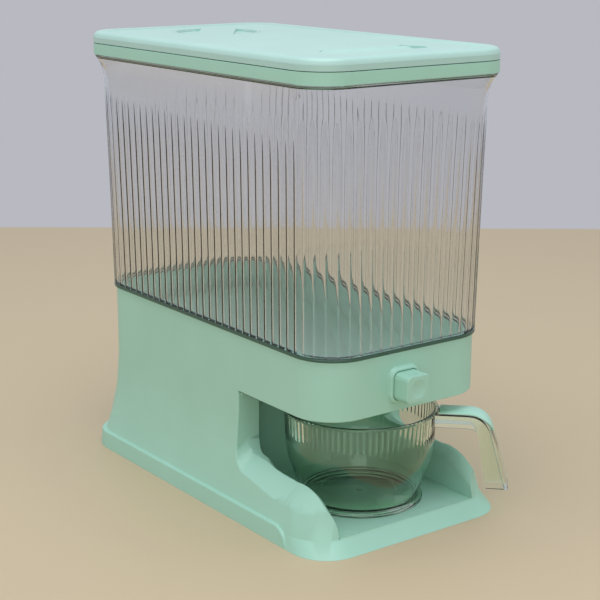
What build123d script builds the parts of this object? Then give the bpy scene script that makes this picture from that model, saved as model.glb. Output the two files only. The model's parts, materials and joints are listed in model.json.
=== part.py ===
from build123d import *
import math
import os

# Rice storage bin, in millimetres. +Z is up, the push button faces -Y, and the origin is the
# middle of the foot's underside. The bin is a mint base with a cup bay in its front, a clear
# fluted container on top, a flip lid, a push-button gate over the bay and a loose measuring cup.
# An outline is a rounded rectangle, given as its half width, front, back and corner radius.

# Clearances and wall thicknesses
slide_gap = 0.3
pin_gap = 0.05
wall = 2.6
clear_wall = 2.2
hopper_wall = 2.0

# Measuring cup and its handle
cup_y = -100.4
cup_height = 75.9
cup_wall = 1.8
cup_rim_radius = 61.1
cup_band_radius = 60.0
cup_shoulder_radius = 58.6
cup_shoulder_height = 37.0
cup_shoulder_bend = 28.0
cup_bend_steps = 3
cup_neck_radius = 46.5
cup_neck_height = 4.0
cup_foot_radius = 50.2
cup_foot_height = 2.4
cup_foot_ring = 4.0
cup_floor = 5.0
cup_ring_radius = 29.6
cup_ring_depth = 0.6
cup_flutes = 84
cup_flute_depth = 0.5
cup_flute_length = 16.3
cup_lip_height = 2.6
handle_turn = -45.0
handle_width = 20.0
handle_wall = 2.0
handle_drop = 0.7
handle_reach = 41.7
handle_end_reach = 56.3
handle_length = 60.7
handle_bend_radius = 20.0
handle_inner_reach = 31.5
handle_inner_end_reach = 38.5
handle_arm_depth = 12.5
handle_inner_radius = 8.0
strip_thickness = 1.2
strip_start = 1.4
strip_length = 29.2

# Cup bay: a pocket with a round back, open to the front and, above the cheeks, to the sides
tray_floor = 11.3
cup_headroom = 12.5
cup_side_room = 5.9
cup_back_room = 13.3
bay_top = tray_floor + slide_gap + cup_height + cup_headroom
bay_half_width = cup_rim_radius + cup_side_room
bay_back = cup_y + cup_rim_radius + cup_back_room
bay_back_corner = 45.0
ceiling = 2.4

# Base housing: the upright wall above, flaring down to the foot
cheek_width = 14.5
body_half_width = bay_half_width + cheek_width
body_front = -158.5
body_back = 160.4
body_corner = 33.0
flare_top = 85.0
foot_flare = 13.8
foot_half_width = body_half_width + foot_flare
foot_front = body_front - 13.2
foot_back = body_back + 10.5
foot_corner = 31.5
side_flare_power = 1.9
front_flare_power = 12.5
flare_steps = 4
corner_steps = 8
skirt_height = 14.2
skirt_draft = 1.3
skirt_end_top = foot_front + 59.1
skirt_end_bottom = foot_front + 41.2

# Cheeks: the crown runs beside the bay and the edge lies out at the flare
side_opening_back = cup_y + 50.4
crown_x = bay_half_width + 5.0
edge_x = foot_half_width + 1.7
crown_rear_rise = 62.0
crown_rear_height = 48.3
crown_rear_foot = side_opening_back - 14.0
crown_nose_height = 45.5
crown_nose_end = foot_front + 7.2
edge_rear_rise = 45.0
edge_rear_height = 28.5
edge_rear_foot = side_opening_back - 16.0
edge_nose_height = 17.5
edge_nose_end = foot_front + 23.7
nose_start = body_front + 40.5
cheek_shell = 3.2

# Gate: channel, sliding plate, springs
throat_half_width = 25.0
throat_half_depth = 6.5
throat_y = cup_y
gate_travel = 2 * throat_half_depth + 1.0
slide_thickness = 3.0
slide_front = body_front + 9.5
slide_back = throat_y + throat_half_depth + 5.9
plate_half_width = throat_half_width + 2.0
spring_outer = 2.4
spring_inner = 1.8
spring_pin_radius = 1.2
spring_length = gate_travel + 10.0
spring_x = plate_half_width + spring_outer + 3.2
ear_thickness = 4.0
ear_root = 1.0
ear_front = slide_front + 19.0
spring_back = ear_front + ear_thickness + spring_length
channel_wall = 2.0
channel_roof = 3.1
channel_front = slide_front - 1.0
channel_back = slide_back + gate_travel + 4.0
channel_half_width = spring_x + spring_outer + slide_gap + 3.2
channel_bottom = bay_top + ceiling
slide_bottom = channel_bottom + channel_wall + slide_gap
spring_z = slide_bottom + spring_outer
channel_top = slide_bottom + slide_thickness + channel_roof
spout_drop = 6.0
spout_wall = 1.8
lug_width = 9.0
lug_thickness = 2.6
channel_screw_y = throat_y - 12.0

# Hopper inside the base
gate_seal_height = 1.0
throat_bottom = channel_top + gate_seal_height
hopper_slope_rise = 11.7
hopper_depth = 34.2
hopper_lip = 1.4
body_top = throat_bottom + hopper_depth
hopper_top = body_top + hopper_lip
hopper_floor_edge = throat_bottom + hopper_slope_rise
hopper_flange = 1.8
spigot_depth = 7.8
container_seal_height = 1.0
hopper_flange_bottom = body_top - spigot_depth - container_seal_height - hopper_flange
boss_radius = 4.0
boss_x = body_half_width - 15.5
boss_y = [side_opening_back - 2.0, body_back - 38.4]
boss_bottom = hopper_floor_edge - 11.5

# Push button, its stem and its collar
button_x = -6.5
button_z = bay_top + 20.5
button_width = 22.0
button_height = 21.5
button_corner = 4.5
button_proud = 18.0
button_wall = 2.2
button_edge = 1.0
button_rear = channel_front - 1.0
button_boss_radius = 3.4
button_dimple_radius = 26.0
button_dimple_depth = 1.1
button_lip = 1.8
button_lip_height = 16.0
button_lip_thickness = 2.0
collar_proud = 3.2
collar_width = 3.4
collar_edge = 1.6
stem_width = 14.0
stem_thickness = 3.0
stem_top = button_z + 6.5
blister_margin = 3.0
blister_room = 2.4
blister_front_top = button_z + 20.5
blister_back_top = button_z + 14.0

# Screws, with the posts, tabs and holes for them. They are out of sight and twelve-sided.
screw_sides = 12
screw_radius = 1.25
screw_head_radius = 2.75
screw_head_height = 1.6
pilot_radius = 1.3
screw_hole_radius = 1.6
post_radius = 4.5
post_web = 2.0
rear_post_x = body_half_width - 2.0
rear_post_y = body_back - 22.4
rear_post_top = 50.0
cheek_post_x = bay_half_width + 11.0
cheek_post_y = cup_y - 4.6
cheek_post_top = 38.0
post_hole_depth = 10.0
tab_width = 12.0
tab_thickness = 2.6
tab_rib_depth = 13.4
tab_rib_thickness = 2.0

# Bottom plate and the rubber feet
plate_bottom = 0.6
plate_thickness = 3.0
plate_gap = 0.4
screw_sink = 1.8
foot_pad_radius = 8.0
foot_pad_pocket = 1.0
foot_pad_inset_x = 25.3
foot_pad_inset_y = 53.0

# Container: a spigot in the base, a ledge on its rim, a drafted fluted wall and a flared top.
# Each growth is what the outline gains at its sides, front, back and corners.
ledge_overhang = 2.0
ledge_thickness = 2.4
ledge_step = 0.2
wall_rise = 179.6
wall_growth = (3.8, 1.5, 0.8, -1.6)
low_flare_rise = 9.0
low_flare_growth = (1.8, 0.7, 0.3, -1.0)
high_flare_rise = 8.6
high_flare_growth = (4.1, 1.2, 0.4, -2.9)
front_flutes = 10
side_flutes = 27
corner_flutes = 6
flute_depth = 1.0
flute_crown = 1.6
flute_start = 1.2
flute_length = 130.4
flute_tip_length = 34.0
flute_tip_share = 0.06

# Lid frame, its seal, the flip lid and its hinge
lid_overhang = 0.5
frame_wall = 2.0
frame_mouth_inset = 8.5
frame_height = 9.2
frame_gap = 0.4
frame_lip_drop = 2.5
lid_gap = 0.6
lid_height = 9.2
lid_wall = 2.4
lid_edge_round = 5.0
lid_round_steps = 3
lid_border = 11.5
lid_border_slope = 1.5
lid_panel_depth = 1.2
lid_seal_inset = 3.9
lid_seal_width = 2.0
lid_seal_height = 1.0
scoop_half_width = 47.0
scoop_inset = 40.2
scoop_length = 26.0
scoop_floor_length = 9.0
scoop_depth = 8.0
scoop_corner = 12.0
scoop_wall = 2.0
hinge_reach = 4.3
hinge_inset_x = 41.5
hinge_rise = 0.3
knuckle_radius = 4.0
lid_knuckle_width = 16.0
frame_knuckle_width = 6.0
hinge_pin_radius = 1.5

# Date dial on the lid
dial_inset = 66.2
dial_radius = 36.5
dial_thickness = 3.4
dial_rim = 2.5
dial_grip_half_width = 15.0
dial_grip_turn = 53.3
dial_hollow_depth = 2.0
dial_hub_radius = 5.0
dial_seat = 2.0
dial_seat_rim = 2.4
clip_radius = 8.5
clip_thickness = 1.4


# Outlines and simple solids
def inset(outline, distance):
    """The same outline, moved in all round. A negative distance moves it out."""
    half_width, front, back, corner = outline
    return half_width - distance, front + distance, back - distance, corner - distance


def grown(outline, growth):
    half_width, front, back, corner = outline
    return half_width + growth[0], front - growth[1], back + growth[2], corner + growth[3]


def rounded(outline, height):
    half_width, front, back, corner = outline
    return Pos(0, (front + back) / 2, height) * RectangleRounded(2 * half_width, back - front, corner)


def block(outline, low, high):
    return extrude(rounded(outline, low), high - low)


def ring(outline, width, low, high):
    return block(outline, low, high) - block(inset(outline, width), low - 1, high + 1)


def box_between(low, high):
    """A box between two corners, given in any order."""
    near = [min(a, b) for a, b in zip(low, high)]
    size = [abs(a - b) for a, b in zip(low, high)]
    return Pos(*near) * Box(*size, align=(Align.MIN, Align.MIN, Align.MIN))


def side_prism(points, low_x, high_x):
    """A prism along X on an outline given as (y, z) points."""
    side = Plane.YZ * make_face(Polyline(*points, close=True))
    return Pos(low_x, 0, 0) * extrude(side, high_x - low_x, dir=(1, 0, 0))


def disc(radius, sides):
    return RegularPolygon(radius, sides) if sides else Circle(radius)


def upright_pin(x, y, low, high, radius, sides=0):
    """A post or hole along Z, round unless it is given a number of sides."""
    return extrude(Pos(x, y, low) * disc(radius, sides), high - low)


def level_pin(x, front, back, z, radius, sides=0):
    """A pin or hole along Y, round unless it is given a number of sides."""
    start = Plane(origin=(x, front, z), x_dir=(1, 0, 0), z_dir=(0, 1, 0))
    return extrude(start * disc(radius, sides), back - front)


def cross_pin(low_x, high_x, y, z, radius):
    """A round pin or hole along X."""
    start = Plane(origin=(low_x, y, z), x_dir=(0, 1, 0), z_dir=(1, 0, 0))
    return extrude(start * Circle(radius), high_x - low_x)


def screw(length):
    """A screw that points down from the underside of its head at the origin."""
    head = extrude(RegularPolygon(screw_head_radius, screw_sides), screw_head_height)
    return head + upright_pin(0, 0, -length, 0, screw_radius, screw_sides)


# Plane-sided solids, for walls whose outline changes with height
def outline_points(outline, height, around, across=1, along=1):
    """Points round an outline, with so many steps round each corner, across its ends and along its sides."""
    half_width, front, back, corner = outline
    x, low_y, high_y = half_width - corner, front + corner, back - corner
    centres = [(x, low_y), (x, high_y), (-x, high_y), (-x, low_y)]
    points = []
    for i, (centre_x, centre_y) in enumerate(centres):
        for k in range(around + 1):
            angle = math.radians(90 * (i - 1 + k / around))
            point_x = centre_x + corner * math.cos(angle)
            point_y = centre_y + corner * math.sin(angle)
            points.append(Vector(point_x, point_y, height))
        next_x, next_y = centres[(i + 1) % 4]
        steps = across if i % 2 else along
        step = Vector(next_x - centre_x, next_y - centre_y, 0) / steps
        points += [points[-1] + step * k for k in range(1, steps)]
    return points


def banded(outlines):
    """A solid through outlines at rising heights, all with the same points, whose sides are plane."""
    faces = [Face(Wire.make_polygon(outline, close=True)) for outline in (outlines[0], outlines[-1])]
    for lower, upper in zip(outlines, outlines[1:]):
        for i in range(len(lower)):
            corners = [lower[i - 1], lower[i], upper[i], upper[i - 1]]
            faces.append(Face(Wire.make_polygon(corners, close=True)))
    return Solid(Shell(faces))


def save(name, shape):
    """Writes one sub-part, its solids in one compound where it has several."""
    export_step(shape, f"parts/{name}.step")


# The outlines that the pieces share
body_outline = (body_half_width, body_front, body_back, body_corner)
foot_outline = (foot_half_width, foot_front, foot_back, foot_corner)
spigot_outline = inset(body_outline, wall + slide_gap)
ledge_outline = inset(body_outline, -ledge_overhang)
ledge_top = body_top + ledge_thickness
wall_foot_outline = inset(ledge_outline, ledge_step)
wall_head_outline = grown(wall_foot_outline, wall_growth)
wall_head = ledge_top + wall_rise
flare_middle_outline = grown(wall_head_outline, low_flare_growth)
flare_middle = wall_head + low_flare_rise
flare_end_outline = grown(flare_middle_outline, high_flare_growth)
flare_end = flare_middle + high_flare_rise
lid_outline = inset(flare_end_outline, -lid_overhang)
lid_half_width, lid_front, lid_back, lid_corner = lid_outline
rim_outline = inset(lid_outline, frame_wall + slide_gap)
frame_bottom = flare_end + frame_gap
frame_top = frame_bottom + frame_height
rim_top = frame_top - frame_wall
lid_bottom = frame_top + lid_gap
lid_top = lid_bottom + lid_height
panel_top = lid_top - lid_panel_depth
hinge_x = lid_half_width - hinge_inset_x
hinge_y = lid_back + hinge_reach
hinge_z = frame_top + hinge_rise
dial_y = lid_back - dial_inset
plate_top = plate_bottom + plate_thickness


# Base hull: the outline of the base at each height
def hull_outline(height):
    side_share = max(0.0, 1 - height / flare_top) ** side_flare_power
    front_share = max(0.0, 1 - height / flare_top) ** front_flare_power
    half_width = body_half_width + (foot_half_width - body_half_width) * side_share
    back = body_back + (foot_back - body_back) * side_share
    front = body_front - (body_front - foot_front) * front_share
    corner = body_corner + (foot_corner - body_corner) * side_share
    return half_width, front, back, corner


def hull(thickness, low, top):
    """The base as a solid, moved in by a thickness and flared between the foot and the upright wall."""
    heights = [flare_top * (i / flare_steps) ** 1.5 for i in range(flare_steps + 1)]
    outlines = [outline_points(inset(hull_outline(z), thickness), z, corner_steps) for z in heights]
    if low < 0:
        outlines.insert(0, outline_points(inset(hull_outline(0), thickness), low, corner_steps))
    outlines.append(outline_points(inset(body_outline, thickness), top, corner_steps))
    return banded(outlines)


def side_skirt():
    """The low step round the sides and the back, which runs out at the front."""
    full = banded([outline_points(foot_outline, 0, corner_steps),
                   outline_points(inset(foot_outline, skirt_draft), skirt_height, corner_steps)])
    start, end = (skirt_end_top, skirt_height), (skirt_end_bottom, 0)
    nose = ThreePointArc(start, (skirt_end_bottom + 4.0, skirt_height * 0.6), end)
    far = foot_back + 10
    rest = Polyline(end, (end[0], -1), (far, -1), (far, skirt_height + 1), (start[0], skirt_height + 1), start)
    keep = Pos(-foot_half_width - 5, 0, 0) * extrude(
        Plane.YZ * make_face(nose + rest), 2 * foot_half_width + 10, dir=(1, 0, 0))
    return full & keep


# Cup bay
def bay_profile(x, rear_rise, rear_foot, rear_height, nose_height, nose_end, grow):
    """The side view of the space above the cheeks, in the plane at x, grown into the walls by grow."""
    top = bay_top + (ceiling if grow else 0)
    floor = tray_floor - (wall if grow else 0)
    out_front = foot_front - 30
    back = side_opening_back + grow
    rise = (back, rear_rise - grow)
    foot = (rear_foot + grow, rear_height - grow)
    rear_bend = (back - 0.3 * (back - foot[0]), rise[1] - 0.72 * (rise[1] - foot[1]))
    nose = (nose_start + grow, nose_height - grow)
    nose_tip = (nose_end + grow, floor)
    drop, run = nose[1] - floor, nose[0] - nose_tip[0]
    nose_bend = (nose[0] - 0.72 * run, nose[1] - 0.3 * drop)
    line = Polyline(nose_tip, (out_front, floor), (out_front, top), (back, top), rise)
    line += ThreePointArc(rise, rear_bend, foot)
    line += Line(foot, nose)
    line += ThreePointArc(nose, nose_bend, nose_tip)
    return Pos(x, 0, 0) * (Plane.YZ * make_face(line))


def bay_cut(grow=0.0):
    """The cup bay as a solid. Grown by a wall, it also holds the walls round the bay."""
    shell = wall if grow else 0
    top = bay_top + (ceiling if grow else 0)
    floor = tray_floor - shell
    half_width, back = bay_half_width + shell, bay_back + shell
    front, corner = foot_front - 30, bay_back_corner + shell
    pocket = block((half_width, front - 2 * corner, back, corner), floor, top)
    pocket &= box_between((-half_width, front, floor), (half_width, back, top))
    crown = (crown_rear_rise, crown_rear_foot, crown_rear_height, crown_nose_height, crown_nose_end, grow)
    edge = (edge_rear_rise, edge_rear_foot, edge_rear_height, edge_nose_height, edge_nose_end, grow)
    across = extrude(bay_profile(-crown_x, *crown), 2 * crown_x, dir=(1, 0, 0))
    right = loft([bay_profile(crown_x, *crown), bay_profile(edge_x, *edge)], ruled=True)
    return pocket + across + right + mirror(right, Plane.YZ)


def post_places():
    places = []
    for side in (-1, 1):
        places.append((side * rear_post_x, rear_post_y, rear_post_top))
        places.append((side * cheek_post_x, cheek_post_y, cheek_post_top))
    return places


def screw_posts():
    """The posts that take the bottom plate's screws, with a web to the wall beside each."""
    posts = []
    for x, y, top in post_places():
        outer = math.copysign(foot_half_width, x)
        posts.append(upright_pin(x, y, plate_top, top, post_radius, screw_sides))
        posts.append(box_between((x, y - post_web / 2, plate_top), (outer, y + post_web / 2, top)))
    return posts


def boss_places():
    return [(side * boss_x, y) for side in (-1, 1) for y in boss_y]


def hopper_tabs():
    """The shelves on the side walls that carry the hopper's bosses."""
    tabs = []
    wall_x = body_half_width - wall / 2
    low = boss_bottom - tab_thickness
    for x, y in boss_places():
        side = math.copysign(1, x)
        tabs.append(box_between((x - side * tab_width / 2, y - tab_width / 2, low),
                                (side * wall_x, y + tab_width / 2, boss_bottom)))
        root = side * (boss_x + boss_radius)
        corner = [(root, low), (side * wall_x, low), (side * wall_x, low - tab_rib_depth)]
        rib = Plane.XZ * make_face(Polyline(*corner, close=True))
        tabs.append(Pos(0, y + tab_rib_thickness / 2, 0) * extrude(rib, tab_rib_thickness, dir=(0, -1, 0)))
    return tabs


def button_opening(margin, front, back):
    """A rounded opening round the button, grown by margin."""
    face = RectangleRounded(button_width + 2 * margin, button_height + 2 * margin, button_corner + margin)
    upright = Plane(origin=(button_x, back, button_z), x_dir=(1, 0, 0), z_dir=(0, -1, 0))
    return extrude(upright * face, back - front)


def throat_outline(margin, corner):
    """The outline of the rice's way down, grown by margin."""
    depth = throat_half_depth + margin
    return throat_half_width + margin, throat_y - depth, throat_y + depth, corner


def channel_screw_places():
    x = channel_half_width + lug_width / 2
    return [(side * x, channel_screw_y) for side in (-1, 1)]


def make_base_housing():
    skin = hull(0.0, 0, body_top) + side_skirt() - bay_cut()
    hollow = hull(wall, -1, body_top + 1) - bay_cut(cheek_shell)
    base = skin - hollow
    base += (Part() + screw_posts()) & skin
    base += Part() + hopper_tabs()
    collar = button_opening(collar_width, body_front - collar_proud, body_front + wall / 2)
    base += chamfer(collar.faces().sort_by(Axis.Y)[0].edges(), collar_edge)
    base -= button_opening(slide_gap, body_front - 20, body_front + wall + 1)
    base -= block(throat_outline(spout_wall + slide_gap, 3.0), bay_top - 1, channel_bottom + 1)
    for x, y, top in post_places():
        base -= upright_pin(x, y, plate_top - 1, plate_top + post_hole_depth, pilot_radius, screw_sides)
    for x, y in boss_places():
        tab_bottom = boss_bottom - tab_thickness
        base -= upright_pin(x, y, tab_bottom - 1, boss_bottom + 1, screw_hole_radius, screw_sides)
    for x, y in channel_screw_places():
        base -= upright_pin(x, y, bay_top + 0.6, channel_bottom + 1, pilot_radius, screw_sides)
    return base


# Bottom plate and feet
def foot_pad_places():
    x = foot_half_width - foot_pad_inset_x
    ends = (foot_front + foot_pad_inset_y, foot_back - foot_pad_inset_y)
    return [(side * x, y) for side in (-1, 1) for y in ends]


def make_bottom_plate():
    plate = block(inset(hull_outline(plate_top), wall + plate_gap), plate_bottom, plate_top)
    for x, y, top in post_places():
        sink = plate_bottom + screw_sink
        plate -= upright_pin(x, y, plate_bottom - 1, sink, screw_head_radius + slide_gap, screw_sides)
        plate -= upright_pin(x, y, plate_bottom, plate_top + 1, screw_hole_radius, screw_sides)
    for x, y in foot_pad_places():
        pocket = plate_bottom + foot_pad_pocket
        plate -= upright_pin(x, y, plate_bottom - 1, pocket, foot_pad_radius + pin_gap)
    return plate


def make_bottom_screws():
    screws = Part()
    for x, y, top in post_places():
        screws += Pos(x, y, plate_bottom + screw_sink) * Rot(180, 0, 0) * screw(8.0)
    return screws


def make_rubber_feet():
    feet = Part()
    for x, y in foot_pad_places():
        feet += upright_pin(x, y, 0, plate_bottom + foot_pad_pocket, foot_pad_radius)
    return feet


# Container
def wall_outline(height):
    """The outline of the container's drafted wall at one height."""
    rise = (height - ledge_top) / wall_rise
    return grown(wall_foot_outline, [rise * gain for gain in wall_growth])


def fluted_points(outline, height):
    """Points round an outline, one on the crown of each flute."""
    return outline_points(outline, height, corner_flutes, front_flutes, side_flutes)


def groove_outline(start, end, half, fade):
    """The section of the groove in a facet between two flute crowns, faded towards its tip."""
    middle, along = (start + end) / 2, (end - start).normalized()
    out = Vector(along.Y, -along.X, 0)
    side = [(half, 0.1 * flute_depth), (0.38 * half, -0.4 * flute_depth)]
    left = [middle + along * (-reach * fade) + out * (rise * fade) for reach, rise in side]
    right = [middle + along * (reach * fade) + out * (rise * fade) for reach, rise in reversed(side)]
    return left + [middle - out * (flute_depth * fade)] + right


def make_flutes():
    """The grooves between the flutes, one in each facet of the wall. Each one runs out to a point."""
    low = ledge_top + flute_start
    fades = [(low, 1.0), (low + flute_length, 1.0), (low + flute_length + flute_tip_length, flute_tip_share)]
    crowns = [fluted_points(wall_outline(z), z) for z, fade in fades]
    grooves = []
    for i in range(len(crowns[0])):
        half = ((crowns[0][i] - crowns[0][i - 1]).length - flute_crown) / 2
        outlines = [groove_outline(points[i - 1], points[i], half, fade)
                    for points, (z, fade) in zip(crowns, fades)]
        grooves.append(banded(outlines))
    return grooves


def make_container():
    levels = [(wall_foot_outline, ledge_top), (wall_head_outline, wall_head),
              (flare_middle_outline, flare_middle), (flare_end_outline, flare_end)]
    shell = banded([fluted_points(outline, z) for outline, z in levels])
    shell += block(rim_outline, flare_end, rim_top)
    shell += block(ledge_outline, body_top, ledge_top)
    shell += block(spigot_outline, body_top - spigot_depth, body_top)
    shell -= banded([outline_points(inset(outline, clear_wall), z, corner_flutes) for outline, z in levels])
    shell -= block(inset(rim_outline, clear_wall), flare_end - 2.5, rim_top + 1)
    shell -= block(inset(spigot_outline, clear_wall), body_top - spigot_depth - 1, ledge_top + 0.01)
    return shell - make_flutes()


def make_container_seal():
    """A flat silicone ring between the container's spigot and the hopper's flange."""
    low = hopper_flange_bottom + hopper_flange
    return ring(inset(spigot_outline, slide_gap), clear_wall - 0.4, low, low + container_seal_height)


# Lid frame and lid
def knuckle(low_x, high_x, web_low, web_high):
    """One hinge knuckle with the web that joins it to the wall in front of it."""
    barrel = cross_pin(low_x, high_x, hinge_y, hinge_z, knuckle_radius)
    return barrel + box_between((low_x, lid_back - 0.5, web_low), (high_x, hinge_y, web_high))


def make_lid_frame():
    mouth = inset(lid_outline, frame_mouth_inset)
    lip = inset(mouth, -frame_wall)
    frame = block(lid_outline, frame_bottom, frame_top) + block(lip, frame_bottom - frame_lip_drop, frame_top)
    slot = block(inset(lid_outline, frame_wall), frame_bottom - 1, rim_top)
    frame -= slot - block(lip, frame_bottom - 2, rim_top + 1)
    frame -= block(mouth, frame_bottom - frame_lip_drop - 1, frame_top + 1)
    for side in (-1, 1):
        middle = side * hinge_x
        reach = lid_knuckle_width / 2 + slide_gap
        for end in (-1, 1):
            near, far = sorted((middle + end * reach, middle + end * (reach + frame_knuckle_width)))
            frame += knuckle(near, far, frame_bottom + 2.0, hinge_z - hinge_rise)
        span = reach + frame_knuckle_width + 1
        frame -= cross_pin(middle - span, middle + span, hinge_y, hinge_z, hinge_pin_radius + pin_gap)
    return frame


def make_lid_seal():
    return ring(inset(lid_outline, lid_seal_inset), lid_seal_width, frame_top, frame_top + lid_seal_height)


def make_hinge_pins():
    pins = Part()
    span = lid_knuckle_width / 2 + slide_gap + frame_knuckle_width
    for side in (-1, 1):
        pins += cross_pin(side * hinge_x - span, side * hinge_x + span, hinge_y, hinge_z, hinge_pin_radius)
    return pins


def round_topped(outline, low, high, radius):
    """A block whose top edge is rounded in a few bevelled steps."""
    solid = block(outline, low, high - radius)
    angles = [math.radians(90 * k / lid_round_steps) for k in range(lid_round_steps + 1)]
    levels = [(radius * (1 - math.cos(a)), high - radius + radius * math.sin(a)) for a in angles]
    for (near, base), (far, top) in zip(levels, levels[1:]):
        solid += loft([rounded(inset(outline, near), base), rounded(inset(outline, far), top)], ruled=True)
    return solid


def scoop_shape(grow):
    """The finger scoop: upright at the front and rising to the panel at the back."""
    front, back = lid_front + scoop_inset - grow, lid_front + scoop_inset + scoop_length + grow
    half, low = scoop_half_width + grow, panel_top - scoop_depth - grow
    plan = block((half, front, back, scoop_corner + grow), low - 1, panel_top + 2)
    side = [(front - 1, panel_top + 2), (front - 1, low), (front + scoop_floor_length, low),
            (back, panel_top - grow), (back, panel_top + 2)]
    return plan & side_prism(side, -half - 1, half + 1)


def make_lid_cover():
    lid = round_topped(lid_outline, lid_bottom, lid_top, lid_edge_round)
    border = inset(lid_outline, lid_border)
    lid -= loft([rounded(inset(border, lid_border_slope), panel_top), rounded(border, lid_top)], ruled=True)
    roof = panel_top - lid_wall
    press = ring(inset(lid_outline, lid_seal_inset + slide_gap), lid_seal_width - 2 * slide_gap,
                 frame_top + lid_seal_height + slide_gap, roof + 0.5)
    lid = lid - block(inset(lid_outline, lid_wall), lid_bottom - 1, roof) + press
    lid += scoop_shape(scoop_wall) & block(border, lid_bottom - 3, panel_top)
    lid -= scoop_shape(0.0)
    floor = panel_top - dial_thickness
    lid += upright_pin(0, dial_y, floor - dial_seat, panel_top, dial_radius + dial_seat_rim)
    lid -= upright_pin(0, dial_y, floor, panel_top + 1, dial_radius + slide_gap)
    lid -= upright_pin(0, dial_y, floor - dial_seat - 1, floor + 1, dial_hub_radius + pin_gap)
    for side in (-1, 1):
        middle, reach = side * hinge_x, lid_knuckle_width / 2
        lid += knuckle(middle - reach, middle + reach, hinge_z + lid_gap, lid_top - lid_edge_round)
        lid -= cross_pin(middle - reach - 1, middle + reach + 1, hinge_y, hinge_z, hinge_pin_radius + pin_gap)
    return lid


def make_date_dial():
    """A flat dial whose grip bar stands between two half-moon hollows, on a hub through the lid."""
    floor = panel_top - dial_thickness + slide_gap
    hollows = upright_pin(0, 0, panel_top - dial_hollow_depth, panel_top + 1, dial_radius - dial_rim)
    hollows -= box_between((-dial_radius, -dial_grip_half_width, floor),
                           (dial_radius, dial_grip_half_width, lid_top + 2))
    dial = upright_pin(0, dial_y, floor, panel_top, dial_radius)
    dial -= Pos(0, dial_y, 0) * Rot(0, 0, dial_grip_turn) * hollows
    clip_bottom = panel_top - dial_thickness - dial_seat - slide_gap - clip_thickness
    return dial + upright_pin(0, dial_y, clip_bottom - 1.0, floor + 0.5, dial_hub_radius)


def make_dial_clip():
    """The push-on ring that holds the dial's hub under the lid."""
    low = panel_top - dial_thickness - dial_seat - slide_gap - clip_thickness
    clip = upright_pin(0, dial_y, low, low + clip_thickness, clip_radius, 4 * screw_sides)
    return clip - upright_pin(0, dial_y, low - 1, low + clip_thickness + 1, dial_hub_radius)


# Hopper
def funnel(top_outline, top, throat, low):
    """Four plane slopes from the box round an outline down to a smaller one."""
    corners = []
    for (half_width, front, back), height in ((throat, low), (top_outline[:3], top)):
        corners.append([Vector(-half_width, front, height), Vector(half_width, front, height),
                        Vector(half_width, back, height), Vector(-half_width, back, height)])
    return banded(corners)


def make_hopper():
    flange_outline = inset(spigot_outline, slide_gap)
    outline = inset(flange_outline, clear_wall)
    inner = inset(outline, hopper_wall)
    throat = throat_outline(0, 0)[:3]
    throat_outer = throat_outline(hopper_wall, 0)[:3]
    half = button_width / 2 + button_lip + blister_margin
    low_x, high_x, front = button_x - half, button_x + half, outline[1]
    back = slide_front + stem_thickness + screw_head_height + gate_travel + blister_room + hopper_wall
    body = block(outline, hopper_floor_edge - hopper_wall, hopper_top)
    body += funnel(outline, hopper_floor_edge - hopper_wall, throat_outer, throat_bottom) & block(
        outline, throat_bottom, hopper_floor_edge)
    body += block(flange_outline, hopper_flange_bottom, hopper_flange_bottom + hopper_flange)
    for x, y in boss_places():
        body += upright_pin(x, y, boss_bottom, hopper_floor_edge - hopper_wall, boss_radius, screw_sides)
    hollow = block(inner, hopper_floor_edge, hopper_top + 1)
    hollow += funnel(inner, hopper_floor_edge, throat, throat_bottom + hopper_wall) & block(
        inner, throat_bottom, hopper_floor_edge + 1)
    hollow += box_between((-throat[0], throat[1], throat_bottom - 1),
                          (throat[0], throat[2], throat_bottom + hopper_wall))
    cover = [(front, blister_front_top), (back - 3, blister_back_top), (back, blister_back_top - 3),
             (back, throat_bottom), (front, throat_bottom)]
    hollow -= side_prism(cover, low_x, high_x)
    body -= hollow
    inside = back - hopper_wall
    front_roof, back_roof = blister_front_top - hopper_wall - 0.5, blister_back_top - hopper_wall - 0.5
    space = [(front - 1, front_roof), (inside - 3, back_roof), (inside, back_roof - 2.5),
             (inside, throat_bottom - 8), (front - 1, throat_bottom - 8)]
    body -= side_prism(space, low_x + hopper_wall, high_x - hopper_wall) & block(
        inset(outline, -1), throat_bottom - 9, hopper_flange_bottom)
    for x, y in boss_places():
        body -= upright_pin(x, y, boss_bottom - 1, boss_bottom + 6, pilot_radius, screw_sides)
    return body


def make_hopper_screws():
    screws = Part()
    for x, y in boss_places():
        screws += Pos(x, y, boss_bottom - tab_thickness) * Rot(180, 0, 0) * screw(tab_thickness + 5.0)
    return screws


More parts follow.
